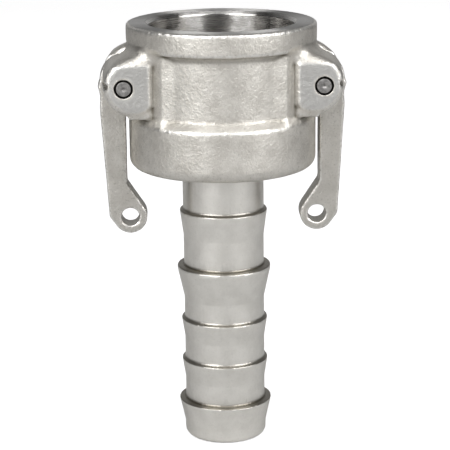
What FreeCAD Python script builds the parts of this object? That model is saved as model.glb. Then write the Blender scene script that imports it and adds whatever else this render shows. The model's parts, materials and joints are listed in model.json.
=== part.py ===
import FreeCAD, Part
import os
import re
import Sketcher

# Camlock coupler with a barbed hose shank, 3/4 inch size. Millimetres, +Z up.
# Origin: centre of the shank's foot. The socket opens upwards, and the cam arms are at +X and -X.
# A "drop" is a distance below the rim's top face. "in" is towards the socket's axis, from an arm's pin.

SIZES = {
    # whole casting
    "overall_length": 97.6,
    "rim_radius": 21.5,
    "rim_height": 5.3,
    "rim_rounding": 0.5,
    "waist_radius": 20.2,
    "ledge_drop": 19.5,
    "band_drop": 21.6,
    "band_radius": 21.2,
    "bowl_depth": 33.0,
    "bowl_rounding": 2.5,
    "neck_rounding": 1.0,
    # socket, machined
    "mouth_radius": 17.15,
    "bore_radius": 16.35,
    "guide_drop": 7.0,
    "chamber_radius": 16.65,
    "groove_drop": 23.3,
    "groove_radius": 17.75,
    "seat_drop": 29.1,
    "seat_radius": 10.4,
    "waterway_radius": 7.5,
    # hose shank
    "neck_radius": 9.3,
    "root_radius": 9.25,
    "tail_radius": 9.45,
    "end_rounding": 1.6,
    "barb_one_radius": 10.1,
    "barb_one_drop": 43.05,
    "barb_one_foot": 49.2,
    "barb_two_radius": 10.75,
    "barb_two_drop": 56.2,
    "barb_two_land": 1.0,
    "barb_two_foot": 64.0,
    "barb_three_radius": 10.0,
    "barb_three_drop": 68.8,
    "barb_three_foot": 73.6,
    "barb_four_radius": 10.0,
    "barb_four_drop": 78.7,
    "barb_four_foot": 83.6,
    "barb_five_radius": 10.78,
    "barb_five_drop": 88.5,
    "barb_five_foot": 94.4,
    # shallow panel in the front and back of the waist
    "panel_radius": 19.3,
    "panel_half_width": 10.9,
    "panel_outer_half_width": 13.7,
    "panel_top_drop": 6.35,
    "panel_foot_drop": 19.8,
    # ears that carry the arms' pins
    "pin_offset": 22.0,
    "pin_drop": 12.8,
    "pin_radius": 1.985,
    "pin_half_length": 13.7,
    "pin_chamfer": 0.35,
    "pin_mouth_radius": 2.1,
    "pin_mouth_depth": 0.6,
    "ear_face": 13.8,
    "slot_width": 6.3,
    "lobe_in": 2.2,
    "lobe_raise": 0.3,
    "lobe_root_radius": 7.35,
    "lobe_tip_radius": 6.6,
    "lobe_rounding": 1.5,
    "chin_in": 0.7,
    "chin_fall": 0.3,
    "chin_root_radius": 5.1,
    "chin_tip_radius": 4.6,
    "chin_rounding": 1.2,
    "block_in": 6.4,
    "block_bottom": 5.0,
    "block_rounding": 1.3,
    "shoulder_rounding": 2.2,
    "pad_face": 13.2,
    "pad_in": 6.3,
    "pad_out": 0.9,
    "pad_top": 3.0,
    "pad_bottom": 7.2,
    "pad_rounding": 1.2,
    "notch_out": 2.65,
    "notch_raise": 0.2,
    "notch_upper_angle": 34.0,
    "notch_lower_angle": 7.0,
    "window_top": 5.85,
    "window_bottom": 8.6,
    # cam arm
    "arm_thickness": 5.9,
    "arm_edge_rounding": 0.4,
    "arm_bore_clearance": 0.04,
    "head_radius": 5.6,
    "cam_radius": 8.3,
    "eye_in": 0.7,
    "eye_fall": 31.4,
    "eye_radius": 3.9,
    "ring_hole_radius": 2.0,
    "lever_bend_out": -0.2,
    "lever_bend_fall": 23.6,
    "lever_corner_out": 4.1,
    "lever_corner_fall": 31.4,
    "throat_fall": 8.2,
    "crown_out": 5.1,
    "crown_raise": 1.5,
    "heel_out": 6.05,
    "heel_fall": 1.2,
    "nape_out": 5.5,
    "nape_fall": 3.3,
    "spine_out": 5.65,
    "spine_fall": 6.2,
    "cam_toe_in": 3.2,
    "cam_toe_fall": 6.6,
    "cam_nose_in": 9.5,
    "cam_nose_fall": 3.6,
    "cam_brow_raise": 1.6,
    "cam_shoulder_in": 3.4,
    "cam_shoulder_raise": 4.1,
    # gasket
    "gasket_radius": 17.5,
    "gasket_hole_radius": 11.1,
    "gasket_thickness": 5.6,
    "gasket_edge": 0.4,
}

doc = FreeCAD.newDocument("camlock_coupling")
sheet = doc.addObject("Spreadsheet::Sheet", "sizes")
for row, (alias, number) in enumerate(SIZES.items(), start=1):
    sheet.set(f"A{row}", alias)
    sheet.set(f"B{row}", str(number))
    sheet.setAlias(f"B{row}", alias)
doc.recompute()

LEVEL = FreeCAD.Rotation()
UPRIGHT = FreeCAD.Rotation(FreeCAD.Vector(1, 0, 0), 90)
FACING_X = FreeCAD.Rotation(FreeCAD.Vector(1, 1, 1), 120)
CUT_MARGIN = 6.0
UP = FreeCAD.Vector(0, 0, 1)
ALONG_X = FreeCAD.Vector(1, 0, 0)
ALONG_Y = FreeCAD.Vector(0, 1, 0)
CLOSE = 0.001
PIN_HEIGHT = "overall_length - pin_drop"


def formula(text):
    """The expression with each of the sheet's names pointing at the sheet."""
    return re.sub(r"[a-z_]+", lambda m: f"sizes.{m[0]}" if m[0] in SIZES else m[0], text)


def value(text):
    """What an expression of the sheet's names comes to."""
    return float(sheet.evalExpression(text))


def add(kind, name, **expressions):
    """A document object whose properties are bound to the sheet."""
    made = doc.addObject(kind, name)
    for path, text in expressions.items():
        made.setExpression(path.replace("__", "."), formula(text))
    return made


def sketch(name, rotation, corners):
    """A closed outline through corners, each a pair of expressions bound as distances from the origin."""
    made = doc.addObject("Sketcher::SketchObject", name)
    made.Placement = FreeCAD.Placement(FreeCAD.Vector(), rotation)
    places = [FreeCAD.Vector(value(x), value(y), 0) for x, y in corners]
    for at, place in enumerate(places):
        made.addGeometry(Part.LineSegment(place, places[(at + 1) % len(places)]), False)
    for at, corner in enumerate(corners):
        before = (at - 1) % len(corners)
        made.addConstraint(Sketcher.Constraint("Coincident", before, 2, at, 1))
        for way, text in zip(("DistanceX", "DistanceY"), corner):
            index = made.addConstraint(Sketcher.Constraint(way, -1, 1, at, 1, value(text)))
            made.setExpression(f"Constraints[{index}]", formula(text))
    return made


def revolved(name, profile):
    """The upright profile turned about the socket's axis."""
    made = doc.addObject("Part::Revolution", name)
    made.Source = profile
    made.Axis = UP
    made.Angle = 360
    made.Solid = True
    return made


def extruded(name, profile, length):
    """The profile pushed out to half the length on both sides of its plane."""
    made = add("Part::Extrusion", name, LengthFwd=length)
    made.Base = profile
    made.DirMode = "Normal"
    made.Solid = True
    made.Symmetric = True
    return made


def mirrored(name, source, normal):
    """The source reflected in the plane through the origin with this normal."""
    made = doc.addObject("Part::Mirroring", name)
    made.Source = source
    made.Normal = normal
    return made


def fused(name, pieces):
    made = doc.addObject("Part::MultiFuse", name)
    made.Shapes = pieces
    made.Refine = True
    return made


def common(name, pieces):
    made = doc.addObject("Part::MultiCommon", name)
    made.Shapes = pieces
    return made


def cut(name, base, tool):
    made = doc.addObject("Part::Cut", name)
    made.Base = base
    made.Tool = tool
    made.Refine = True
    return made


def rounded(name, base, radius, chosen, kind="Part::Fillet"):
    """The base with a fillet, or a chamfer, along the edges that chosen() picks."""
    doc.recompute()
    made = doc.addObject(kind, name)
    made.Base = base
    size = value(radius)
    numbers = [n for n, edge in enumerate(base.Shape.Edges, start=1) if chosen(edge)]
    if not numbers:
        raise RuntimeError(f"{name}: no edge was chosen")
    made.Edges = [(n, size, size) for n in numbers]
    return made


def is_circle(edge, radius, height=None):
    """True for a circular edge of this radius, and at this height where one is given."""
    if not isinstance(edge.Curve, Part.Circle) or abs(edge.Curve.Radius - value(radius)) > CLOSE:
        return False
    return height is None or abs(edge.Curve.Center.z - value(height)) < CLOSE


def below(drop):
    """The height of a place this far below the rim's top face."""
    return f"overall_length - ({drop})"


def turned_outside():
    """The outside of the casting without its ears, as one turned solid: hose shank, bowl, waist and rim."""
    outline = [
        ("0", "0"),
        ("tail_radius", "0"),
        ("tail_radius", below("barb_five_foot")),
        ("barb_five_radius", below("barb_five_drop")),
        ("root_radius", below("barb_five_drop")),
        ("root_radius", below("barb_four_foot")),
        ("barb_four_radius", below("barb_four_drop")),
        ("root_radius", below("barb_four_drop")),
        ("root_radius", below("barb_three_foot")),
        ("barb_three_radius", below("barb_three_drop")),
        ("root_radius", below("barb_three_drop")),
        ("root_radius", below("barb_two_foot")),
        ("barb_two_radius", below("barb_two_drop + barb_two_land")),
        ("barb_two_radius", below("barb_two_drop")),
        ("root_radius", below("barb_two_drop")),
        ("root_radius", below("barb_one_foot")),
        ("barb_one_radius", below("barb_one_drop")),
        ("neck_radius", below("barb_one_drop")),
        ("neck_radius", below("bowl_depth")),
        ("band_radius", below("bowl_depth")),
        ("band_radius", below("band_drop")),
        ("waist_radius", below("ledge_drop")),
        ("waist_radius", below("rim_height")),
        ("rim_radius", below("rim_height")),
        ("rim_radius", "overall_length"),
        ("0", "overall_length"),
    ]
    turned = revolved("turned_outside", sketch("outside_outline", UPRIGHT, outline))
    for name, radius, circle, height in (
        ("bowl_edge", "bowl_rounding", "band_radius", below("bowl_depth")),
        ("neck_corner", "neck_rounding", "neck_radius", below("bowl_depth")),
        ("rim_top_edge", "rim_rounding", "rim_radius", "overall_length"),
        ("rim_low_edge", "rim_rounding", "rim_radius", below("rim_height")),
        ("shank_end", "end_rounding", "tail_radius", "0"),
    ):
        turned = rounded(name, turned, radius, lambda edge: is_circle(edge, circle, height))
    return turned


def socket_space():
    """What is machined out: lead-in, short guide, wider chamber, gasket groove and waterway."""
    outline = [
        ("0", f"overall_length + {CUT_MARGIN}"),
        ("mouth_radius", f"overall_length + {CUT_MARGIN}"),
        ("mouth_radius", "overall_length"),
        ("bore_radius", below("mouth_radius - bore_radius")),
        ("bore_radius", below("guide_drop")),
        ("chamber_radius", below("guide_drop + chamber_radius - bore_radius")),
        ("chamber_radius", below("groove_drop")),
        ("groove_radius", below("groove_drop")),
        ("groove_radius", below("seat_drop")),
        ("seat_radius", below("seat_drop")),
        ("waterway_radius", below("seat_drop + seat_radius - waterway_radius")),
        ("waterway_radius", f"-{CUT_MARGIN}"),
        ("0", f"-{CUT_MARGIN}"),
    ]
    return revolved("socket_space", sketch("socket_outline", UPRIGHT, outline))


def tapered_lobe(name, inward, raised):
    """A round lobe of the front right ear, widest at the arm's slot."""
    lobe = add(
        "Part::Cone",
        name,
        Radius1=f"{name}_root_radius",
        Radius2=f"{name}_tip_radius",
        Height="ear_face - slot_width / 2",
        Placement__Base__x=f"pin_offset - {inward}",
        Placement__Base__y="-slot_width / 2",
        Placement__Base__z=f"{PIN_HEIGHT} + ({raised})",
    )
    lobe.Placement.Rotation = UPRIGHT
    return lobe


def ear_box(name, face, inward, outward, top, bottom):
    """A block that joins the front right ear to the waist, by its distances from the pin."""
    return add(
        "Part::Box",
        name,
        Length=f"{inward} - {outward}",
        Width=f"{face} - slot_width / 2",
        Height=f"({top}) + {bottom}",
        Placement__Base__x=f"pin_offset - {inward}",
        Placement__Base__y=f"-{face}",
        Placement__Base__z=f"{PIN_HEIGHT} - {bottom}",
    )


def lies_in_plane(edge, axis, place):
    """True for an edge that lies in the plane where this axis has this value."""
    box = edge.BoundBox
    low, high = getattr(box, f"{axis}Min"), getattr(box, f"{axis}Max")
    return abs(low - value(place)) < CLOSE and abs(high - value(place)) < CLOSE


def with_round_edges(name, block, face, inward, bottom, rounding, shoulder=None):
    """The block with its front edges rounded, and then all round its inner side except at the back."""
    foot = f"{PIN_HEIGHT} - {bottom}"
    inner = f"pin_offset - {inward}"

    def on_front(edge):
        return lies_in_plane(edge, "Y", f"-{face}") and edge.BoundBox.XLength > CLOSE

    def at_foot(edge):
        return on_front(edge) and lies_in_plane(edge, "Z", foot)

    def at_shoulder(edge):
        return on_front(edge) and not lies_in_plane(edge, "Z", foot)

    def on_inner_side(edge):
        at_back = lies_in_plane(edge, "Y", "-slot_width / 2")
        return lies_in_plane(edge, "X", inner) and not at_back

    block = rounded(f"{name}_foot", block, rounding, at_foot)
    block = rounded(f"{name}_shoulder", block, shoulder or rounding, at_shoulder)
    return rounded(f"{name}_side", block, rounding, on_inner_side)


def front_right_ear():
    """The ear in front of the right arm: an upper lobe, a chin below it, and the blocks behind them."""
    block = ear_box("block", "ear_face", "block_in", "lobe_in", "pin_drop - rim_height", "block_bottom")
    block = with_round_edges(
        "block", block, "ear_face", "block_in", "block_bottom", "block_rounding", "shoulder_rounding"
    )
    pad = ear_box("pad", "pad_face", "pad_in", "pad_out", "-pad_top", "pad_bottom")
    pad = with_round_edges("pad", pad, "pad_face", "pad_in", "pad_bottom", "pad_rounding")
    lobe_limit = box_between(
        "lobe_limit",
        "0",
        "pin_offset - (block_in - block_rounding)",
        "3 * ear_face",
        f"{PIN_HEIGHT} - 2 * lobe_root_radius",
        f"{PIN_HEIGHT} + 2 * lobe_root_radius",
    )

    def on_face(edge):
        return lies_in_plane(edge, "Y", "-ear_face") and edge.BoundBox.XLength > CLOSE

    lobe = cut("lobe_kept", tapered_lobe("lobe", "lobe_in", "lobe_raise"), lobe_limit)
    lobe = rounded("lobe_edge", lobe, "lobe_rounding", on_face)
    chin = rounded("chin_edge", tapered_lobe("chin", "chin_in", "-chin_fall"), "chin_rounding", on_face)
    reach = "2 * head_radius"
    notch = sketch(
        "notch_outline",
        UPRIGHT,
        [
            ("pin_offset + notch_out", f"{PIN_HEIGHT} + notch_raise"),
            (
                f"pin_offset + notch_out + {reach} * cos(notch_upper_angle * 1 deg)",
                f"{PIN_HEIGHT} + notch_raise + {reach} * sin(notch_upper_angle * 1 deg)",
            ),
            (
                f"pin_offset + notch_out + {reach} * cos(notch_lower_angle * 1 deg)",
                f"{PIN_HEIGHT} + notch_raise - {reach} * sin(notch_lower_angle * 1 deg)",
            ),
        ],
    )
    wedge = extruded("notch", notch, f"2 * ear_face + {CUT_MARGIN}")
    return cut("front_right_ear", fused("ear_blank", [lobe, chin, block, pad]), wedge)


def box_between(name, x_from, x_to, width, z_from, z_to):
    """A box centred on Y = 0, given by where it starts and ends along X and Z."""
    return add(
        "Part::Box",
        name,
        Length=f"({x_to}) - ({x_from})",
        Width=width,
        Height=f"({z_to}) - ({z_from})",
        Placement__Base__x=x_from,
        Placement__Base__y=f"-({width}) / 2",
        Placement__Base__z=z_from,
    )


def cross_hole(name, radius, length, x, z):
    """A cylinder along Y, centred on Y = 0."""
    made = add(
        "Part::Cylinder",
        name,
        Radius=radius,
        Height=length,
        Placement__Base__x=x,
        Placement__Base__y=f"({length}) / 2",
        Placement__Base__z=z,
    )
    made.Placement.Rotation = UPRIGHT
    return made


def right_arm_space():
    """What is cut for the right arm: a window in the wall, a slot between the ears, and its pin's hole."""
    window = box_between(
        "cam_window",
        "pin_offset - cam_radius - pin_radius",
        "pin_offset",
        "slot_width",
        f"{PIN_HEIGHT} - window_bottom",
        f"{PIN_HEIGHT} + window_top",
    )
    slot = box_between(
        "ear_slot",
        "waist_radius",
        "pin_offset + 2 * head_radius",
        "slot_width",
        f"{PIN_HEIGHT} - window_bottom",
        below("rim_height"),
    )
    hole = cross_hole("pin_hole", "pin_radius", "3 * ear_face", "pin_offset", PIN_HEIGHT)
    mouth = cross_hole("pin_hole_mouth", "pin_mouth_radius", "3 * ear_face", "pin_offset", PIN_HEIGHT)
    apart = "2 * (ear_face - pin_mouth_depth)"
    between = cross_hole("between_mouths", "ear_face", apart, "pin_offset", PIN_HEIGHT)
    return fused("right_arm_space", [window, slot, hole, cut("pin_hole_mouths", mouth, between)])


def back_panel_space():
    """What is cut for the shallow panel in the back of the waist, with bevels that meet in mitres."""
    outer = "rim_radius + 2"
    foot_slope = "(band_drop - panel_foot_drop) / (band_radius - panel_radius)"
    ring = revolved(
        "panel_ring",
        sketch(
            "panel_ring_profile",
            UPRIGHT,
            [
                ("panel_radius", below("panel_foot_drop")),
                (outer, below(f"panel_foot_drop + ({outer} - panel_radius) * {foot_slope}")),
                (outer, below("rim_height")),
                ("waist_radius", below("rim_height")),
                ("panel_radius", below("panel_top_drop")),
            ],
        ),
    )
    floor_edge = "sqrt(panel_radius^2 - panel_half_width^2)"
    face_edge = "sqrt(waist_radius^2 - panel_outer_half_width^2)"
    plan = extruded(
        "panel_plan",
        sketch(
            "panel_plan_outline",
            LEVEL,
            [
                ("-panel_half_width", floor_edge),
                ("panel_half_width", floor_edge),
                ("panel_outer_half_width", face_edge),
                ("panel_outer_half_width", "2 * panel_radius"),
                ("-panel_outer_half_width", "2 * panel_radius"),
                ("-panel_outer_half_width", face_edge),
            ],
        ),
        "3 * overall_length",
    )
    ledge_edge = "sqrt(band_radius^2 - panel_outer_half_width^2)"
    corners = extruded(
        "panel_foot_corners",
        sketch(
            "panel_corner_profile",
            FACING_X,
            [
                (face_edge, below("ledge_drop")),
                (face_edge, below("band_drop")),
                (ledge_edge, below("band_drop")),
            ],
        ),
        "3 * panel_outer_half_width",
    )
    return cut("back_panel_space", common("panel_space", [ring, plan]), corners)


def coupler_body():
    """The one casting: a turned solid and four ears, less the socket, the arms' spaces and the two panels."""
    front_ear = front_right_ear()
    right_ears = [front_ear, mirrored("back_right_ear", front_ear, ALONG_Y)]
    left_ears = [
        mirrored("front_left_ear", right_ears[0], ALONG_X),
        mirrored("back_left_ear", right_ears[1], ALONG_X),
    ]
    solid = fused("solid_casting", [turned_outside(), *right_ears, *left_ears])
    arm_space = right_arm_space()
    panel = back_panel_space()
    spaces = [
        socket_space(),
        arm_space,
        mirrored("left_arm_space", arm_space, ALONG_X),
        panel,
        mirrored("front_panel_space", panel, ALONG_Y),
    ]
    return cut("coupler_body", solid, fused("spaces", spaces))


def tangent_from(point, centre, radius, side):
    """Where a line from the point touches the circle, on the point's left (1) or right (-1)."""
    across = f"(({centre[0]}) - ({point[0]}))"
    up = f"(({centre[1]}) - ({point[1]}))"
    distance = f"hypot({across}; {up})"
    heading = f"(atan2({up}; {across}) + {side} * asin({radius} / {distance}))"
    run = f"sqrt({distance}^2 - {radius}^2)"
    return f"({point[0]}) + {run} * cos({heading})", f"({point[1]}) + {run} * sin({heading})"


def right_cam_arm():
    """The right cam arm, closed: cam towards the socket, lever hanging down, and an eye for a pull ring."""
    def place(out, up):
        return f"pin_offset + ({out})", f"{PIN_HEIGHT} + ({up})"

    pin = place("0", "0")
    eye = place("-eye_in", "-eye_fall")
    bend = place("lever_bend_out", "-lever_bend_fall")
    corner = place("lever_corner_out", "-lever_corner_fall")
    throat = place("lever_bend_out", "-throat_fall")
    lever = extruded(
        "lever",
        sketch(
            "lever_outline",
            UPRIGHT,
            [
                pin,
                place("crown_out", "crown_raise"),
                place("heel_out", "-heel_fall"),
                place("nape_out", "-nape_fall"),
                place("spine_out", "-spine_fall"),
                corner,
                tangent_from(corner, eye, "eye_radius", 1),
                eye,
                tangent_from(bend, eye, "eye_radius", -1),
                bend,
                throat,
            ],
        ),
        "arm_thickness",
    )
    cam = extruded(
        "cam_block",
        sketch(
            "cam_outline",
            UPRIGHT,
            [
                pin,
                throat,
                place("-cam_toe_in", "-cam_toe_fall"),
                place("-cam_nose_in", "-cam_nose_fall"),
                place("-cam_nose_in", "cam_brow_raise"),
                place("-cam_shoulder_in", "cam_shoulder_raise"),
            ],
        ),
        "arm_thickness",
    )
    limit = cross_hole("cam_limit", "cam_radius", "2 * arm_thickness", "pin_offset", PIN_HEIGHT)
    head = cross_hole("head", "head_radius", "arm_thickness", "pin_offset", PIN_HEIGHT)
    eye_disc = cross_hole("eye_disc", "eye_radius", "arm_thickness", *eye)
    blank = fused("arm_blank", [lever, common("cam", [cam, limit]), head, eye_disc])
    blank = rounded("arm_edges", blank, "arm_edge_rounding", lies_on_side)
    bore_radius = "pin_radius + arm_bore_clearance"
    bores = [
        cross_hole("arm_bore", bore_radius, "2 * arm_thickness", "pin_offset", PIN_HEIGHT),
        cross_hole("ring_hole", "ring_hole_radius", "2 * arm_thickness", *eye),
    ]
    return cut("right_cam_arm", blank, fused("arm_bores", bores))


def lies_on_side(edge):
    """True for an edge all of which is on the front or the back face of an arm."""
    box = edge.BoundBox
    return box.YLength < CLOSE and abs(abs(box.YMin) - value("arm_thickness / 2")) < CLOSE


def right_arm_pin():
    """The plain pin that the right arm turns on, chamfered at both ends and held in the ears."""
    pin = cross_hole("pin_rod", "pin_radius", "2 * pin_half_length", "pin_offset", PIN_HEIGHT)

    def at_end(edge):
        return is_circle(edge, "pin_radius")

    return rounded("right_arm_pin", pin, "pin_chamfer", at_end, "Part::Chamfer")


def gasket():
    """The flat ring that seals against the adapter's nose, loose in the socket's groove."""
    disc, hole = (
        add(
            "Part::Cylinder",
            name,
            Radius=radius,
            Height="gasket_thickness",
            Placement__Base__z=below("seat_drop"),
        )
        for name, radius in (("gasket_disc", "gasket_radius"), ("gasket_opening", "gasket_hole_radius"))
    )
    ring = cut("gasket_ring", disc, hole)

    def is_round(edge):
        return isinstance(edge.Curve, Part.Circle)

    return rounded("gasket", ring, "gasket_edge", is_round, "Part::Chamfer")


right_arm = right_cam_arm()
right_pin = right_arm_pin()
sub_parts = {
    "coupler_body": coupler_body(),
    "gasket": gasket(),
    "right_cam_arm": right_arm,
    "left_cam_arm": mirrored("left_cam_arm", right_arm, ALONG_X),
    "right_arm_pin": right_pin,
    "left_arm_pin": mirrored("left_arm_pin", right_pin, ALONG_X),
}
doc.recompute()

for made in doc.Objects:
    if "Invalid" in made.State or "Error" in made.State:
        raise RuntimeError(f"{made.Name} did not build: {made.State}")
os.makedirs("parts", exist_ok=True)
for node, made in sub_parts.items():
    made.Label = node
    shape = made.Shape
    if shape.isNull() or not shape.isValid() or len(shape.Solids) != 1:
        raise RuntimeError(f"{node} is not one valid solid")
    shape.exportStep(f"parts/{node}.step")
    print(f"{node}: {shape.Volume:.0f} mm3")
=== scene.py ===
import json
import math

import bpy
import numpy as np
from mathutils import Matrix, Vector, noise


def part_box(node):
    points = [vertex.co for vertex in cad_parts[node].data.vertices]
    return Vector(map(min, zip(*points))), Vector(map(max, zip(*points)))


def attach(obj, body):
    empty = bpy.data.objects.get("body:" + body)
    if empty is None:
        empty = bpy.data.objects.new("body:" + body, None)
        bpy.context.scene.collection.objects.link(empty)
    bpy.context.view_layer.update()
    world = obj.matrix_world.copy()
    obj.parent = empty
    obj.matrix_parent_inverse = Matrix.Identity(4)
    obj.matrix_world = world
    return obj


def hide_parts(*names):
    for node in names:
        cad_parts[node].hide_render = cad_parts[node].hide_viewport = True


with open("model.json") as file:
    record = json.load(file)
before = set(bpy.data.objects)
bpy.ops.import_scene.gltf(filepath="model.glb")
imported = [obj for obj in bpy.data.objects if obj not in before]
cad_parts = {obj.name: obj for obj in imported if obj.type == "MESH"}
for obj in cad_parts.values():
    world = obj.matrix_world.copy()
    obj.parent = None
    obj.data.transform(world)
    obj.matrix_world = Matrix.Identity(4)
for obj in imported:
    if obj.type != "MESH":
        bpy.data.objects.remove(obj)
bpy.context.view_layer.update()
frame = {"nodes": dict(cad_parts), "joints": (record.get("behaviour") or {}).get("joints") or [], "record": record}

# Looks of a stainless camlock coupler. Blender's metres, +Z up; a size in millimetres is a number times MM.
MM = 0.001
nodes = frame["nodes"]
record = frame["record"]

# Places in the casting. A depth is measured down from the rim's top.
body_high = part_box("coupler_body")[1]
RIM_TOP = body_high.z
RIM_RADIUS = body_high.y
RIM_HEIGHT = 5.3 * MM
GUIDE_RADIUS = next(m["dims"]["r_mm"] for m in record["mounts"] if m["name"] == "socket_mouth") * MM
GUIDE_DEPTH = 7 * MM
MOUTH_RADIUS = GUIDE_RADIUS + 0.8 * MM
CHAMBER_RADIUS = GUIDE_RADIUS + 0.3 * MM
CHAMBER_DEPTH = 23.3 * MM
SOCKET_DEPTH = 30 * MM
SOCKET_LIMIT = 18.3 * MM
WATERWAY_LIMIT = 8.4 * MM
BOWL_DEPTH = 33 * MM
NECK_RADIUS = 9.3 * MM
EAR_FACE = 13.8 * MM
EAR_START = 15.2 * MM
EAR_DROP = 8 * MM
PIN_OUT, _, PIN_HEIGHT = next(j["pos_m"] for j in frame["joints"] if j["name"] == "right_arm_hinge")
PIN_RADIUS = 1.985 * MM
PIN_FLAT_RADIUS = 1.62 * MM
NOTCH_OUT = PIN_OUT + 2.8 * MM
NOTCH_HEIGHT = PIN_HEIGHT + 0.4 * MM
GASKET_HOLE_RADIUS = 11.1 * MM
GASKET_CORNER = 0.7 * MM

CASTING_VOXEL = 0.28 * MM
ARM_VOXEL = 0.2 * MM
MAX_TRIANGLES = 190000

# Colours. A pair is a surface's light and dark patches.
HEAD_STEEL = (0.74, 0.715, 0.665), (0.6, 0.575, 0.53)
SHANK_STEEL = (0.84, 0.82, 0.775), (0.76, 0.74, 0.695)
ARM_STEEL = (0.6, 0.58, 0.54), (0.52, 0.5, 0.46)
RIM_STEEL = (0.62, 0.61, 0.595), (0.42, 0.41, 0.4)
SOCKET_STEEL = (0.82, 0.81, 0.79), (0.2, 0.185, 0.165)
PIN_STEEL = (0.36, 0.35, 0.34), (0.2, 0.195, 0.19)
RUBBER = (0.035, 0.034, 0.033), (0.014, 0.014, 0.015)
GROUND_FLAT = (0.53, 0.525, 0.51)
# Lighter colour for edges that show wear; it also stands in for a painted highlight on them.
WORN_EDGE_AND_HIGHLIGHT = (0.82, 0.805, 0.775)
# Painted shade for corners and hollows, the barbs' upward-facing ledges and the ears' notches.
CORNER_SHADE = (0.16, 0.142, 0.11)
# Painted shade, near black, for the gap round each pin.
CREVICE_SHADE = (0.012, 0.011, 0.01)


# ---------------------------------------------------------------- camera, light and floor


def make_camera():
    """A long lens in front of the part, a little above it and a touch to its left, and slightly rolled."""
    distance = 423.28 * MM
    pitch = math.radians(14.467)
    yaw = math.radians(-2.006)
    roll = math.radians(-0.644)
    aim = Vector((0.335 * MM, 0, RIM_TOP - 47.289 * MM))
    back = Vector((math.sin(yaw) * math.cos(pitch), -math.cos(yaw) * math.cos(pitch), math.sin(pitch)))
    right = (-back).cross(Vector((0, 0, 1))).normalized()
    up = right.cross(-back)
    tilted_right = right * math.cos(roll) + up * math.sin(roll)
    tilted_up = up * math.cos(roll) - right * math.sin(roll)
    data = bpy.data.cameras.new("camera")
    data.lens = 146.95
    data.sensor_width = 36
    data.clip_start = 10 * MM
    data.clip_end = 20
    camera = bpy.data.objects.new("camera", data)
    turned = Matrix((tilted_right, tilted_up, back)).transposed().to_4x4()
    camera.matrix_world = Matrix.Translation(aim + back * distance) @ turned
    bpy.context.scene.collection.objects.link(camera)
    bpy.context.scene.camera = camera


def make_light(name, azimuth, elevation, distance, size, power):
    """A rectangular softbox aimed at the part's middle. Azimuth 0 is in front of it, and 90 to its right."""
    data = bpy.data.lights.new(name, "AREA")
    data.shape = "RECTANGLE"
    data.size, data.size_y = size
    data.energy = power
    light = bpy.data.objects.new(name, data)
    turn, lift = math.radians(azimuth), math.radians(elevation)
    target = Vector((0, 0, RIM_TOP / 2))
    away = Vector((math.sin(turn) * math.cos(lift), -math.cos(turn) * math.cos(lift), math.sin(lift)))
    light.location = target + away * distance
    light.rotation_euler = (-away).to_track_quat("-Z", "Y").to_euler()
    bpy.context.scene.collection.objects.link(light)


def make_floor():
    """A floor that shows white, and that throws little light back up at the part."""
    bpy.ops.mesh.primitive_plane_add(size=8, location=(0, 0, -0.1 * MM))
    floor = bpy.context.object
    floor.name = "floor"
    material, shader = new_material("floor_white", (0.5, 0.5, 0.5), 0.9, metallic=0)
    shader.inputs["Specular IOR Level"].default_value = 0.1
    shader.inputs["Emission Color"].default_value = (1, 1, 1, 1)
    tree = material.node_tree
    seen = add_node(tree, "ShaderNodeLightPath").outputs["Is Camera Ray"]
    tree.links.new(math_node(tree, "MULTIPLY", seen, 0.75), shader.inputs["Emission Strength"])
    floor.data.materials.append(material)


def make_world():
    """A studio that shows white, and lights the part from behind more than from the sides or the top."""
    world = bpy.data.worlds.new("studio")
    bpy.context.scene.world = world
    world.use_nodes = True
    tree = world.node_tree
    background = tree.nodes["Background"]
    background.inputs["Color"].default_value = (1, 1, 1, 1)
    place = add_node(tree, "ShaderNodeTexCoord").outputs["Generated"]
    ways = add_node(tree, "ShaderNodeSeparateXYZ", Vector=place)
    sideways = math_node(tree, "ABSOLUTE", ways.outputs["X"])
    around = ramp_node(tree, sideways, 0.35, 0.85, 1.0, 0.15)
    lengthways = ramp_node(tree, ways.outputs["Y"], -0.2, 0.4, 0.2, 0.44)
    overhead = ramp_node(tree, ways.outputs["Z"], 0.35, 0.8, 1.0, 0.3)
    dim = math_node(tree, "MULTIPLY", math_node(tree, "MULTIPLY", around, lengthways), overhead)
    seen = add_node(tree, "ShaderNodeLightPath").outputs["Is Camera Ray"]
    mixed = mix_node(tree, "FLOAT", seen, dim, 1.0)
    tree.links.new(mixed, background.inputs["Strength"])


# ---------------------------------------------------------------- material helpers


def new_material(name, colour, roughness, metallic=1.0):
    """A material, and its shader with these values."""
    material = bpy.data.materials.new(name)
    material.use_nodes = True
    shader = material.node_tree.nodes["Principled BSDF"]
    shader.inputs["Base Color"].default_value = (*colour, 1)
    shader.inputs["Roughness"].default_value = roughness
    shader.inputs["Metallic"].default_value = metallic
    return material, shader


def set_input(tree, node, key, given):
    """Links a socket to the input, or sets the input's own value."""
    socket = node.inputs[key]
    if isinstance(given, bpy.types.NodeSocket):
        tree.links.new(given, socket)
    elif isinstance(given, tuple) and socket.type == "RGBA":
        socket.default_value = (*given, 1)
    else:
        socket.default_value = given


def add_node(tree, kind, **inputs):
    """A node with its inputs set or linked, each by its name."""
    node = tree.nodes.new(kind)
    for key, given in inputs.items():
        set_input(tree, node, key.replace("_", " "), given)
    return node


def mix_node(tree, data_type, share, first, second):
    """Goes from first to second, which are numbers or colours, as share goes from 0 to 1."""
    node = tree.nodes.new("ShaderNodeMix")
    node.data_type = data_type
    start = {"FLOAT": 2, "RGBA": 6}[data_type]
    for index, given in zip((0, start, start + 1), (share, first, second)):
        set_input(tree, node, index, given)
    return node.outputs[start // 3]


def math_node(tree, operation, *values):
    """The result of one Math operation on numbers or sockets."""
    node = tree.nodes.new("ShaderNodeMath")
    node.operation = operation
    for index, given in enumerate(values):
        set_input(tree, node, index, given)
    return node.outputs[0]


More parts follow.
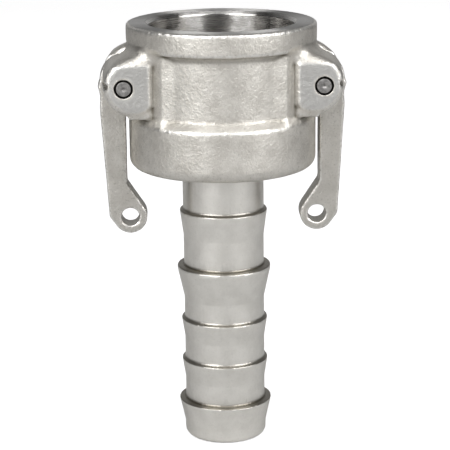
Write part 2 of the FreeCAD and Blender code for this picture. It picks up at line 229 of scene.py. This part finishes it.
def ramp_node(tree, given, low, high, to_low, to_high):
    """given, taken from low..high to to_low..to_high with soft ends."""
    node = tree.nodes.new("ShaderNodeMapRange")
    node.interpolation_type = "SMOOTHSTEP"
    for key, number in (("From Min", low), ("From Max", high), ("To Min", to_low), ("To Max", to_high)):
        node.inputs[key].default_value = number
    set_input(tree, node, "Value", given)
    return node.outputs[0]


def blend_colour(tree, share, first, second):
    """Goes from the first colour to the second as share goes from 0 to 1."""
    return mix_node(tree, "RGBA", share, first, second)


def grain(tree, coords, size, detail=2.0):
    """Noise around 0.5 with lumps of this size."""
    return add_node(
        tree, "ShaderNodeTexNoise", Vector=coords, Scale=1 / size, Detail=detail, Roughness=0.6
    ).outputs["Fac"]


def attribute(tree, name):
    """A value that the mesh keeps at each of its points."""
    node = tree.nodes.new("ShaderNodeAttribute")
    node.attribute_name = name
    return node.outputs["Fac"]


def bumped(tree, shader, height, distance):
    """Gives the shader a relief that is this deep where height goes from 0 to 1."""
    bump = add_node(tree, "ShaderNodeBump", Height=height, Distance=distance, Strength=1.0)
    tree.links.new(bump.outputs["Normal"], shader.inputs["Normal"])


# ---------------------------------------------------------------- materials


def distance_from_pin(tree, coords):
    """How far a place is from the nearer pin's axis."""
    axes = add_node(tree, "ShaderNodeSeparateXYZ", Vector=coords)
    across = math_node(tree, "SUBTRACT", math_node(tree, "ABSOLUTE", axes.outputs["X"]), PIN_OUT)
    above = math_node(tree, "SUBTRACT", axes.outputs["Z"], PIN_HEIGHT)
    across_squared = math_node(tree, "MULTIPLY", across, across)
    above_squared = math_node(tree, "MULTIPLY", above, above)
    return math_node(tree, "SQRT", math_node(tree, "ADD", across_squared, above_squared))


def cast_steel(name, light, dark, rough, grit=1.0, with_ears=False):
    """Blasted investment casting: satin grey with a fine grain, a lighter colour on edges that show wear, partly a
    painted highlight, and painted shade in its corners.
    grit is how strong the grain is. with_ears adds the ears' ground flats and a black ring of painted shade round
    each pin."""
    material, shader = new_material(name, light, rough)
    tree = material.node_tree
    coords = add_node(tree, "ShaderNodeTexCoord").outputs["Object"]
    mottle = grain(tree, coords, 3.4 * MM, 5.0)
    speckle = grain(tree, coords, 0.5 * MM, 4.0)
    peel = grain(tree, coords, 0.9 * MM, 2.0)
    colour = blend_colour(tree, ramp_node(tree, mottle, 0.3, 0.7, 0.0, 1.0), dark, light)
    specks = ramp_node(tree, speckle, 0.3, 0.44, 0.35 * grit, 0.0)
    colour = blend_colour(tree, specks, colour, tuple(0.4 * part for part in dark))
    if with_ears:
        colour = blend_colour(tree, attribute(tree, "ground"), colour, GROUND_FLAT)
    patchy = ramp_node(tree, speckle, 0.36, 0.56, 0.1, 1.0)
    wear_and_highlight = math_node(tree, "MULTIPLY", attribute(tree, "wear_and_highlight"), patchy)
    # Edges that show wear get a lighter colour, partly real wear and partly a painted highlight.
    colour = blend_colour(tree, wear_and_highlight, colour, WORN_EDGE_AND_HIGHLIGHT)
    # Painted shade: ambient occlusion darkens the colour in corners and hollows.
    shade = tree.nodes.new("ShaderNodeAmbientOcclusion")
    shade.samples = 8
    shade.only_local = True
    shade.inputs["Distance"].default_value = 2.2 * MM
    hollow = ramp_node(tree, shade.outputs["AO"], 0.3, 0.88, 0.9, 0.0)
    corner_shade = math_node(tree, "MAXIMUM", hollow, attribute(tree, "painted_shade_mask"))
    colour = blend_colour(tree, corner_shade, colour, CORNER_SHADE)
    if with_ears:
        # Painted shade: a black ring in the gap round the pin's hole.
        distance = distance_from_pin(tree, coords)
        ring = ramp_node(tree, distance, PIN_RADIUS + 0.06 * MM, PIN_RADIUS + 0.16 * MM, 1.0, 0.0)
        colour = blend_colour(tree, ring, colour, CREVICE_SHADE)
    tree.links.new(colour, shader.inputs["Base Color"])
    grainy = ramp_node(tree, speckle, 0.3, 0.7, rough + 0.1 * grit, rough - 0.1 * grit)
    roughness = math_node(tree, "SUBTRACT", grainy, math_node(tree, "MULTIPLY", wear_and_highlight, 0.05))
    tree.links.new(roughness, shader.inputs["Roughness"])
    height = math_node(tree, "ADD", math_node(tree, "MULTIPLY", speckle, 0.9), peel)
    bumped(tree, shader, height, 0.08 * MM * grit)
    return material


def turned_steel(name, light, dark, rough, groove):
    """Machined faces: fine rings from the lathe, groove deep, draw the light out across themselves."""
    material, shader = new_material(name, light, rough)
    shader.inputs["Anisotropic"].default_value = 0.95
    shader.inputs["Anisotropic Rotation"].default_value = 0.25
    tree = material.node_tree
    tangent = tree.nodes.new("ShaderNodeTangent")
    tangent.direction_type = "RADIAL"
    tangent.axis = "Z"
    tree.links.new(tangent.outputs["Tangent"], shader.inputs["Tangent"])
    coords = add_node(tree, "ShaderNodeTexCoord").outputs["Object"]
    axes = add_node(tree, "ShaderNodeSeparateXYZ", Vector=coords)
    flat = add_node(tree, "ShaderNodeCombineXYZ", X=axes.outputs["X"], Y=axes.outputs["Y"])
    length = tree.nodes.new("ShaderNodeVectorMath")
    length.operation = "LENGTH"
    tree.links.new(flat.outputs[0], length.inputs[0])
    outward = math_node(tree, "ADD", length.outputs["Value"], axes.outputs["Z"])
    rings = add_node(tree, "ShaderNodeCombineXYZ", X=outward)
    lines = grain(tree, rings.outputs[0], 0.14 * MM, 3.0)
    stains = grain(tree, coords, 2.6 * MM, 4.0)
    lined = ramp_node(tree, lines, 0.3, 0.7, 0.4, 1.0)
    clean = ramp_node(tree, stains, 0.3, 0.6, 0.5, 1.0)
    colour = blend_colour(tree, math_node(tree, "MULTIPLY", lined, clean), dark, light)
    tree.links.new(colour, shader.inputs["Base Color"])
    tree.links.new(ramp_node(tree, lines, 0.3, 0.7, rough + 0.05, rough - 0.05), shader.inputs["Roughness"])
    bumped(tree, shader, lines, groove)
    return material


def pin_steel(name, light, dark):
    """Cut-off pin: a mottled grey end face, and a black ring of painted shade on its chamfer round it."""
    material, shader = new_material(name, light, 0.5)
    tree = material.node_tree
    coords = add_node(tree, "ShaderNodeTexCoord").outputs["Object"]
    distance = distance_from_pin(tree, coords)
    mottle = grain(tree, coords, 0.9 * MM, 4.0)
    colour = blend_colour(tree, ramp_node(tree, mottle, 0.35, 0.65, 0.0, 1.0), dark, light)
    # Painted shade: the pin's chamfer is coloured black.
    crevice_shade = ramp_node(tree, distance, PIN_FLAT_RADIUS - 0.08 * MM, PIN_FLAT_RADIUS + 0.02 * MM, 0.0, 1.0)
    colour = blend_colour(tree, crevice_shade, colour, CREVICE_SHADE)
    tree.links.new(colour, shader.inputs["Base Color"])
    tree.links.new(ramp_node(tree, mottle, 0.3, 0.7, 0.58, 0.42), shader.inputs["Roughness"])
    bumped(tree, shader, grain(tree, coords, 0.35 * MM), 0.05 * MM)
    return material


def nitrile(name, light, dark):
    """Matt black rubber with a faint moulded grain."""
    material, shader = new_material(name, light, 0.55, metallic=0)
    tree = material.node_tree
    coords = add_node(tree, "ShaderNodeTexCoord").outputs["Object"]
    dust = grain(tree, coords, 1.4 * MM, 4.0)
    colour = blend_colour(tree, ramp_node(tree, dust, 0.4, 0.75, 0.0, 1.0), dark, light)
    tree.links.new(colour, shader.inputs["Base Color"])
    tree.links.new(ramp_node(tree, dust, 0.3, 0.7, 0.5, 0.66), shader.inputs["Roughness"])
    bumped(tree, shader, grain(tree, coords, 0.35 * MM), 0.03 * MM)
    return material


# ---------------------------------------------------------------- mesh helpers


def new_piece(name, mesh, body, node, slot, *materials):
    """A piece that stands for a CAD node, rides on its body and has these materials in its slots."""
    piece = bpy.data.objects.new(name, mesh)
    bpy.context.scene.collection.objects.link(piece)
    for material in materials:
        mesh.materials.append(material)
    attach(piece, body)
    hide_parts(node)
    return piece


def with_modifier(mesh, kind, **settings):
    """The mesh after one modifier."""
    holder = bpy.data.objects.new("holder", mesh)
    bpy.context.scene.collection.objects.link(holder)
    modifier = holder.modifiers.new("modifier", kind)
    for key, given in settings.items():
        setattr(modifier, key, given)
    bpy.context.view_layer.update()
    made = bpy.data.meshes.new_from_object(holder.evaluated_get(bpy.context.evaluated_depsgraph_get()))
    bpy.data.objects.remove(holder)
    return made


def get_points(mesh):
    points = np.empty(len(mesh.vertices) * 3)
    mesh.vertices.foreach_get("co", points)
    return points.reshape(-1, 3)


def get_normals(mesh):
    normals = np.empty(len(mesh.vertices) * 3)
    mesh.vertices.foreach_get("normal", normals)
    return normals.reshape(-1, 3)


def set_points(mesh, points):
    mesh.vertices.foreach_set("co", points.ravel())
    mesh.update()


def relaxed(mesh, points, share, steps):
    """The points after some smoothing steps. Each moves a point its share of the way to its neighbours."""
    edges = np.empty(len(mesh.edges) * 2, np.int64)
    mesh.edges.foreach_get("vertices", edges)
    first, second = edges.reshape(-1, 2).T
    size = len(points)

    def neighbours_total(column):
        return np.bincount(first, column[second], size) + np.bincount(second, column[first], size)

    count = neighbours_total(np.ones(size))
    for _ in range(steps):
        total = np.stack([neighbours_total(column) for column in points.T], axis=1)
        points = points + share[:, None] * (total / count[:, None] - points)
    return points


def lumps(points, size):
    """Smooth noise, about -1 to 1, with lumps of this size."""
    return np.array([noise.noise(place) for place in (points / size).tolist()])


def soft_step(given, low, high):
    """0 below low and 1 above high, with a smooth rise between them."""
    share = np.clip((given - low) / (high - low), 0, 1)
    return share * share * (3 - 2 * share)


def cast_surface(mesh, voxel, roundness, machined_share, smooth_share, extra_share=None):
    """Rebuilds a CAD mesh as a casting: even faces, soft corners, a lumpy blasted skin, edges that show wear and
    also take a painted highlight, and hollows marked for painted shade.
    The last three take the points and say, from 0 to 1, where the skin is turned, smooth or extra soft."""
    mesh = with_modifier(mesh, "REMESH", mode="VOXEL", voxel_size=voxel)
    points = get_points(mesh)
    machined, smooth = machined_share(points), smooth_share(points)
    rounding_steps = max(1, round(4 * (roundness / voxel) ** 2))
    softened = 0.5 * (1 - 0.92 * np.maximum(machined, 0.85 * smooth))
    points = relaxed(mesh, points, softened, rounding_steps)
    if extra_share:
        points = relaxed(mesh, points, 0.5 * extra_share(points) * (1 - machined), 30 * rounding_steps)
    set_points(mesh, points)
    normals = get_normals(mesh)
    everywhere = np.full(len(points), 0.5)
    near = relaxed(mesh, points, everywhere, 8)
    wide = relaxed(mesh, near, everywhere, 40)
    standing_out = ((points - near) * normals).sum(1)
    sunk_in = ((wide - points) * normals).sum(1)
    # Convex edges: where wear shows, and where a highlight is painted into the colour.
    wear_and_highlight = soft_step(standing_out, 0.01 * MM, 0.06 * MM) * (1 - machined)
    # Concave places, a mask for painted shade.
    painted_shade_mask = soft_step(sunk_in, 0.05 * MM, 0.3 * MM) * (1 - machined)
    skin = (1 - machined) * (1 - 0.7 * smooth)
    peel = 0.014 * MM * (lumps(points, 1.1 * MM) - 1)
    waves = 0.035 * MM * (lumps(points, 4.1 * MM) - 1)
    nibbled = 0.16 * MM * wear_and_highlight * (1 - 0.5 * smooth) * np.clip(lumps(points, 0.8 * MM), 0, 1)
    set_points(mesh, points + normals * (skin * (peel + waves) - nibbled)[:, None])
    set_values(mesh, "wear_and_highlight", wear_and_highlight * (1 - 0.85 * smooth))
    set_values(mesh, "painted_shade_mask", painted_shade_mask)
    return mesh


def set_values(mesh, name, values):
    """Keeps a value at each point, in a new attribute or one that the mesh has."""
    layer = mesh.attributes.get(name) or mesh.attributes.new(name, "FLOAT", "POINT")
    layer.data.foreach_set("value", values.astype(np.float32))


def get_values(mesh, name):
    values = np.empty(len(mesh.vertices), np.float32)
    mesh.attributes[name].data.foreach_get("value", values)
    return values


def thinned(mesh):
    """The mesh with no more triangles than the export takes."""
    triangles = 2 * len(mesh.polygons)
    if triangles > MAX_TRIANGLES:
        mesh = with_modifier(mesh, "DECIMATE", ratio=MAX_TRIANGLES / triangles)
    mesh.shade_smooth()
    return mesh


def face_centres(mesh):
    centres = np.empty(len(mesh.polygons) * 3)
    mesh.polygons.foreach_get("center", centres)
    return centres.reshape(-1, 3)


def lathe(name, profile, axis, place, segments):
    """A closed ring or rod turned from its profile, pairs of (distance from the axis, place along it)."""
    turn = Vector((0, 0, 1)).rotation_difference(Vector(axis)).to_matrix()
    verts, faces = [], []
    for step in range(segments):
        angle = 2 * math.pi * step / segments
        for out, along in profile:
            verts.append(turn @ Vector((out * math.cos(angle), out * math.sin(angle), along)) + Vector(place))
    size = len(profile)
    for step in range(segments):
        for at in range(size):
            after, beside = (at + 1) % size, (step + 1) % segments
            faces.append((step * size + at, beside * size + at, beside * size + after, step * size + after))
    mesh = bpy.data.meshes.new(name)
    mesh.from_pydata(verts, [], faces)
    mesh.validate()
    mesh.shade_smooth()
    return mesh


# ---------------------------------------------------------------- pieces


def radius_of(points):
    """How far each point is from the coupler's axis."""
    return np.hypot(points[:, 0], points[:, 1])


def body_machined(points):
    """1 on the socket, the rim's face and the waterway, which are turned."""
    out, up = radius_of(points), points[:, 2]
    socket = (out < SOCKET_LIMIT) & (up > RIM_TOP - SOCKET_DEPTH)
    rim_face = (up > RIM_TOP - 0.25 * MM) & (out < RIM_RADIUS - 0.7 * MM)
    waterway = out < WATERWAY_LIMIT
    return (socket | rim_face | waterway).astype(float)


def body_shank(points):
    """1 on the hose shank, which is smoother than the rest."""
    return 1 - soft_step(points[:, 2], RIM_TOP - BOWL_DEPTH - 1.6 * MM, RIM_TOP - BOWL_DEPTH - 0.6 * MM)


def ear_blend(points):
    """1 where the ears run up into the rim."""
    near_rim = 1 - soft_step(abs(points[:, 2] - (RIM_TOP - RIM_HEIGHT - 0.6 * MM)), 0.6 * MM, 2.2 * MM)
    return near_rim * soft_step(abs(points[:, 0]), 13.5 * MM, 16 * MM)


def trued(points):
    """The points, with the socket's wall, the rim's face and the flats round the pins evened out."""
    out, depth = radius_of(points), RIM_TOP - points[:, 2]
    wall = np.interp(
        depth,
        [0, MOUTH_RADIUS - GUIDE_RADIUS, GUIDE_DEPTH, GUIDE_DEPTH + CHAMBER_RADIUS - GUIDE_RADIUS],
        [MOUTH_RADIUS, GUIDE_RADIUS, GUIDE_RADIUS, CHAMBER_RADIUS],
    )
    on_wall = (abs(out - wall) < 0.12 * MM) & (depth < CHAMBER_DEPTH - 0.3 * MM)
    scale = np.where(on_wall, wall / np.maximum(out, MM), 1)
    on_rim = (abs(depth) < 0.1 * MM) & (out > MOUTH_RADIUS) & (out < RIM_RADIUS - 0.6 * MM)
    heights = np.where(on_rim, RIM_TOP, points[:, 2])
    from_pin = distance_to_pin(points)
    round_pin = (from_pin > PIN_RADIUS + 0.1 * MM) & (from_pin < PIN_RADIUS + 1.5 * MM)
    flat = round_pin & (abs(points[:, 1]) > EAR_FACE - 0.6 * MM) & (abs(points[:, 1]) < EAR_FACE + 0.1 * MM)
    faces = np.where(flat, np.sign(points[:, 1]) * (EAR_FACE - 0.04 * MM), points[:, 1] * scale)
    return np.stack([points[:, 0] * scale, faces, heights], axis=1)


def distance_to_pin(points):
    """How far each point is from the nearer pin's axis."""
    return np.hypot(abs(points[:, 0]) - PIN_OUT, points[:, 2] - PIN_HEIGHT)


def mark_casting(mesh):
    """Ground flats on the ears, no wear or painted highlight round the pins, a scuffed band below the rim's edge
    that is partly a painted highlight, and painted shade on the barbs' ledges and in the ears' notches."""
    points, normals = get_points(mesh), get_normals(mesh)
    out, up = radius_of(points), points[:, 2]
    on_ear = (abs(points[:, 0]) > EAR_START) & (up < RIM_TOP - RIM_HEIGHT) & (up > PIN_HEIGHT - EAR_DROP)
    facing = soft_step(abs(normals[:, 1]), 0.93, 0.99)
    on_face = soft_step(abs(points[:, 1]), EAR_FACE - 0.5 * MM, EAR_FACE - 0.2 * MM)
    set_values(mesh, "ground", 0.9 * facing * on_face * on_ear)
    from_pin = distance_to_pin(points)
    wear_and_highlight = get_values(mesh, "wear_and_highlight") * soft_step(from_pin, PIN_RADIUS + 0.3 * MM, PIN_RADIUS + 0.9 * MM)
    scuffs = soft_step(lumps(points, 1.3 * MM) + 0.5 * lumps(points, 0.6 * MM), -0.25, 0.35)
    below_edge = soft_step(up, RIM_TOP - 1.5 * MM, RIM_TOP - 0.3 * MM) * (out > RIM_RADIUS - 0.8 * MM)
    # A scuffed band below the rim's edge gets the same lighter colour, partly a painted highlight.
    wear_and_highlight = np.maximum(wear_and_highlight, 0.55 * scuffs * below_edge)
    set_values(mesh, "wear_and_highlight", wear_and_highlight)
    # Painted shade on the barbs' upward-facing ledges and on the faces in the ears' notches.
    ledge_shade = 0.8 * soft_step(normals[:, 2], 0.2, 0.6) * body_shank(points) * (out > NECK_RADIUS - 0.4 * MM)
    in_notch = (abs(points[:, 0]) > NOTCH_OUT) & (abs(up - NOTCH_HEIGHT) < 1.1 * MM)
    notch_shade = in_notch * soft_step(abs(normals[:, 2]), 0.45, 0.8)
    set_values(mesh, "painted_shade_mask", np.maximum(get_values(mesh, "painted_shade_mask"), np.maximum(ledge_shade, notch_shade)))


def make_casting():
    """The coupler's one casting: head, hose shank, turned socket and the rim's turned face."""
    materials = (
        cast_steel("cast_head_steel", *HEAD_STEEL, 0.45, with_ears=True),
        turned_steel("turned_socket_steel", *SOCKET_STEEL, 0.25, 0.008 * MM),
        cast_steel("shank_steel", *SHANK_STEEL, 0.38, grit=0.3),
        turned_steel("turned_rim_steel", *RIM_STEEL, 0.42, 0.006 * MM),
    )
    head, socket, shank, rim_face = range(4)
    source = nodes["coupler_body"].data.copy()
    mesh = cast_surface(source, CASTING_VOXEL, 0.3 * MM, body_machined, body_shank, ear_blend)
    mark_casting(mesh)
    mesh = thinned(mesh)
    set_points(mesh, trued(get_points(mesh)))
    mesh.materials.clear()
    centres = face_centres(mesh)
    kinds = np.where(centres[:, 2] < RIM_TOP - BOWL_DEPTH - 1.1 * MM, shank, head)
    kinds = np.where(body_machined(centres) > 0.5, socket, kinds)
    kinds = np.where((kinds == socket) & (centres[:, 2] > RIM_TOP - 0.1 * MM), rim_face, kinds)
    new_piece("coupler_casting", mesh, "coupler", "coupler_body", "cast_body", *materials)
    mesh.polygons.foreach_set("material_index", kinds.astype(np.int32))
    mesh.update()


def nowhere(points):
    """0 at every point."""
    return np.zeros(len(points))


def make_arms():
    """The two lever arms, cast all over."""
    steel = cast_steel("cast_arm_steel", *ARM_STEEL, 0.45)
    for side in ("left", "right"):
        source = nodes[f"{side}_cam_arm"].data.copy()
        mesh = thinned(cast_surface(source, ARM_VOXEL, 0.25 * MM, nowhere, nowhere))
        mesh.materials.clear()
        new_piece(f"{side}_lever_arm", mesh, f"{side}_arm", f"{side}_cam_arm", "cast_arms", steel)


def make_pins():
    """The two hinge pins, each end with a small chamfer and slightly hollow from being cut off."""
    steel = pin_steel("pin_steel", *PIN_STEEL)
    for side in ("left", "right"):
        low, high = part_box(f"{side}_arm_pin")
        centre = (low + high) / 2
        half = (high.y - low.y) / 2
        chamfer = PIN_RADIUS - PIN_FLAT_RADIUS
        dip = 0.03 * MM
        end = [
            (0.01 * MM, half - 0.02 * MM),
            (0.5 * PIN_FLAT_RADIUS, half - dip),
            (0.86 * PIN_FLAT_RADIUS, half),
            (PIN_FLAT_RADIUS, half - dip),
            (PIN_RADIUS, half - chamfer),
        ]
        profile = [*end, *[(out, -along) for out, along in reversed(end)]]
        mesh = lathe(f"{side}_pin", profile, (0, 1, 0), centre, 64)
        new_piece(f"{side}_hinge_pin", mesh, "coupler", f"{side}_arm_pin", "pins", steel)


def make_gasket():
    """The socket's flat rubber ring, with rounded corners."""
    low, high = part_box("gasket")
    inner, outer = GASKET_HOLE_RADIUS + GASKET_CORNER, high.x - GASKET_CORNER
    bottom, top = GASKET_CORNER, high.z - low.z - GASKET_CORNER
    corner_steps = 4
    profile = []
    for out, up, start in ((outer, top, 0), (inner, top, 90), (inner, bottom, 180), (outer, bottom, 270)):
        for step in range(corner_steps + 1):
            angle = math.radians(start + 90 * step / corner_steps)
            profile.append((out + GASKET_CORNER * math.cos(angle), up + GASKET_CORNER * math.sin(angle)))
    mesh = lathe("gasket_ring", profile, (0, 0, 1), (0, 0, low.z), 144)
    new_piece("face_gasket", mesh, "coupler", "gasket", "gasket_rubber", nitrile("nitrile", *RUBBER))


make_casting()
make_arms()
make_pins()
make_gasket()
make_floor()
make_world()
make_camera()
make_light("left_softbox", -38, 32, 1.3, (0.95, 1.1), 16.8)
make_light("right_softbox", 49, 32, 1.3, (0.95, 1.1), 15.2)
make_light("top_softbox", 0, 76, 1.3, (1.0, 0.45), 1.8)
bpy.context.scene.view_settings.view_transform = "Standard"
